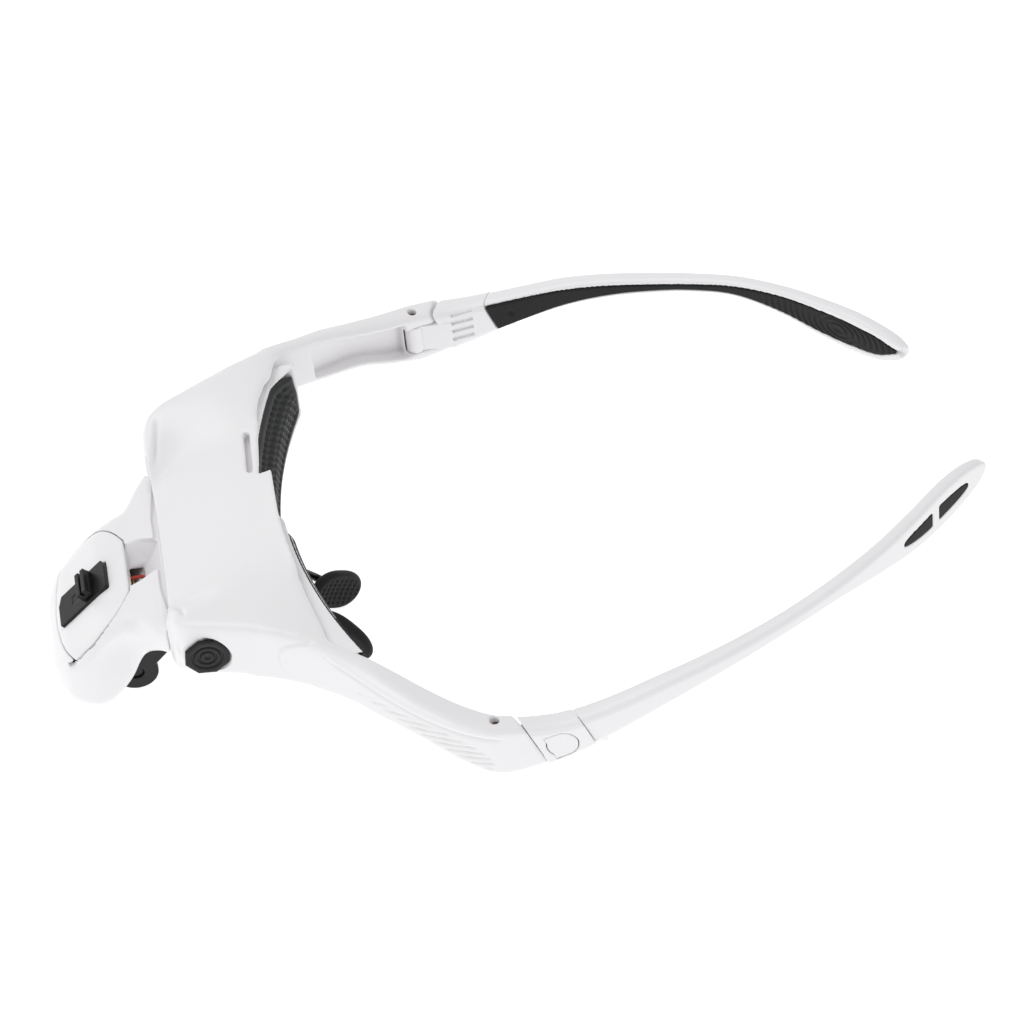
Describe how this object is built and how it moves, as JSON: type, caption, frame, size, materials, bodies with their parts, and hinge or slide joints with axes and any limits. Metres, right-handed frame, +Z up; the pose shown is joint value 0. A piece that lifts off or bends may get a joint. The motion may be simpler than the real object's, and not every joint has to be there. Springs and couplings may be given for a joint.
{
  "type": "head visor magnifier",
  "caption": "Glasses-style head visor with a flip-down lens, a battery lamp in the nose, a forehead pad, nose pads and folding temples that pull off.",
  "frame": {"origin": "centre of the bounding box at its lowest point, with the visor seated on its nose pads and lamp nose", "axes": "+X the wearer's left, -Y the front of the visor, +Y along the temples, +Z up"},
  "size_m": [0.1638, 0.2368, 0.0748],
  "materials": {
    "white_shell": "smooth satin white ABS",
    "black_plastic": "fine matt black plastic",
    "black_rubber": "soft matt black rubber",
    "pad_foam": "moulded black foam with small cells",
    "cell_steel": "plain steel",
    "contact_brass": "sprung contact strip",
    "board": "green circuit board",
    "wire_red": "red-orange wire sleeve",
    "led": "clear resin with a phosphor tint",
    "clear": "polished clear acrylic"
  },
  "bodies": {
    "visor": {"visor_shell": "white_shell", "brow_frame": "white_shell", "forehead_pad": "pad_foam", "brow_clips": "white_shell", "lamp_housing": "white_shell", "lamp_base": "white_shell", "coin_cells": "cell_steel", "battery_clip": "contact_brass", "circuit_board": "board", "lead_wires": "wire_red", "lamp_cradle": "black_plastic", "nose_bridge": "black_plastic", "nose_stems": "black_plastic", "left_hinge_pin": "cell_steel", "right_hinge_pin": "cell_steel", "housing_screws": "cell_steel", "brow_screws": "cell_steel"},
    "battery_door": {"battery_cover": "white_shell", "switch_plate": "black_plastic", "switch_body": "cell_steel"},
    "switch_slider": {"switch_knob": "black_plastic"},
    "lamp": {"lamp_barrel": "black_plastic", "lamp_leds": "led", "lamp_window": "clear"},
    "lens": {"lens_carrier": "black_plastic", "lens_plate": "clear", "pivot_caps": "black_plastic", "pivot_washers": "cell_steel"},
    "left_nose_pad": {"nose_pad_left": "black_rubber"},
    "right_nose_pad": {"nose_pad_right": "black_rubber"},
    "left_link": {"left_hinge_link": "white_shell"},
    "right_link": {"right_hinge_link": "white_shell"},
    "left_button": {"left_latch": "white_shell"},
    "right_button": {"right_latch": "white_shell"},
    "left_temple_leg": {"left_temple": "white_shell", "left_temple_lining": "black_rubber", "left_tip_inserts": "black_rubber"},
    "right_temple_leg": {"right_temple": "white_shell", "right_temple_lining": "black_rubber", "right_tip_inserts": "black_rubber"}
  },
  "joints": [
    {"name": "left_temple_fold", "type": "hinge", "parent": "visor", "child": "left_link", "pos_m": [0.076, -0.01227, 0.03243], "axis": [0, -0.0785, 0.9969], "range_deg": [0, 74]},
    {"name": "right_temple_fold", "type": "hinge", "parent": "visor", "child": "right_link", "pos_m": [-0.076, -0.01227, 0.03243], "axis": [0, 0.0785, -0.9969], "range_deg": [-10, 46]},
    {"name": "left_release_press", "type": "slide", "parent": "left_link", "child": "left_button", "axis": [-0.9957, 0.0921, 0.0072], "range_m": [0, 0.0008], "stiffness_N_per_m": 400},
    {"name": "right_release_press", "type": "slide", "parent": "right_link", "child": "right_button", "axis": [0.9957, -0.0921, -0.0072], "range_m": [0, 0.0008], "stiffness_N_per_m": 400},
    {"name": "left_temple_release", "type": "slide", "parent": "left_link", "child": "left_temple_leg", "axis": [0.0924, 0.9927, 0.0781], "range_m": [0, 0.02]},
    {"name": "right_temple_release", "type": "slide", "parent": "right_link", "child": "right_temple_leg", "axis": [0.0924, 0.9927, 0.0781], "range_m": [0, 0.02]},
    {"name": "lens_flip", "type": "hinge", "parent": "visor", "child": "lens", "pos_m": [0, -0.08071, 0.04048], "axis": [-1, 0, 0], "range_deg": [0, 80]},
    {"name": "lamp_tilt", "type": "hinge", "parent": "visor", "child": "lamp", "pos_m": [0, -0.09773, 0.00945], "axis": [1, 0, 0], "range_deg": [-20, 20]},
    {"name": "battery_cover_lift", "type": "slide", "parent": "visor", "child": "battery_door", "axis": [0, -0.7373, 0.6756], "range_m": [0, 0.02]},
    {"name": "switch_slide", "type": "slide", "parent": "battery_door", "child": "switch_slider", "axis": [0, -0.6756, -0.7373], "range_m": [0, 0.004]},
    {"name": "left_nose_pad_rock", "type": "hinge", "parent": "visor", "child": "left_nose_pad", "pos_m": [0.01093, -0.04438, 0.00613], "axis": [-0.3401, -0.4306, -0.836], "range_deg": [-10, 10]},
    {"name": "right_nose_pad_rock", "type": "hinge", "parent": "visor", "child": "right_nose_pad", "pos_m": [-0.01093, -0.04438, 0.00613], "axis": [0.3401, -0.4306, -0.836], "range_deg": [-10, 10]}
  ]
}
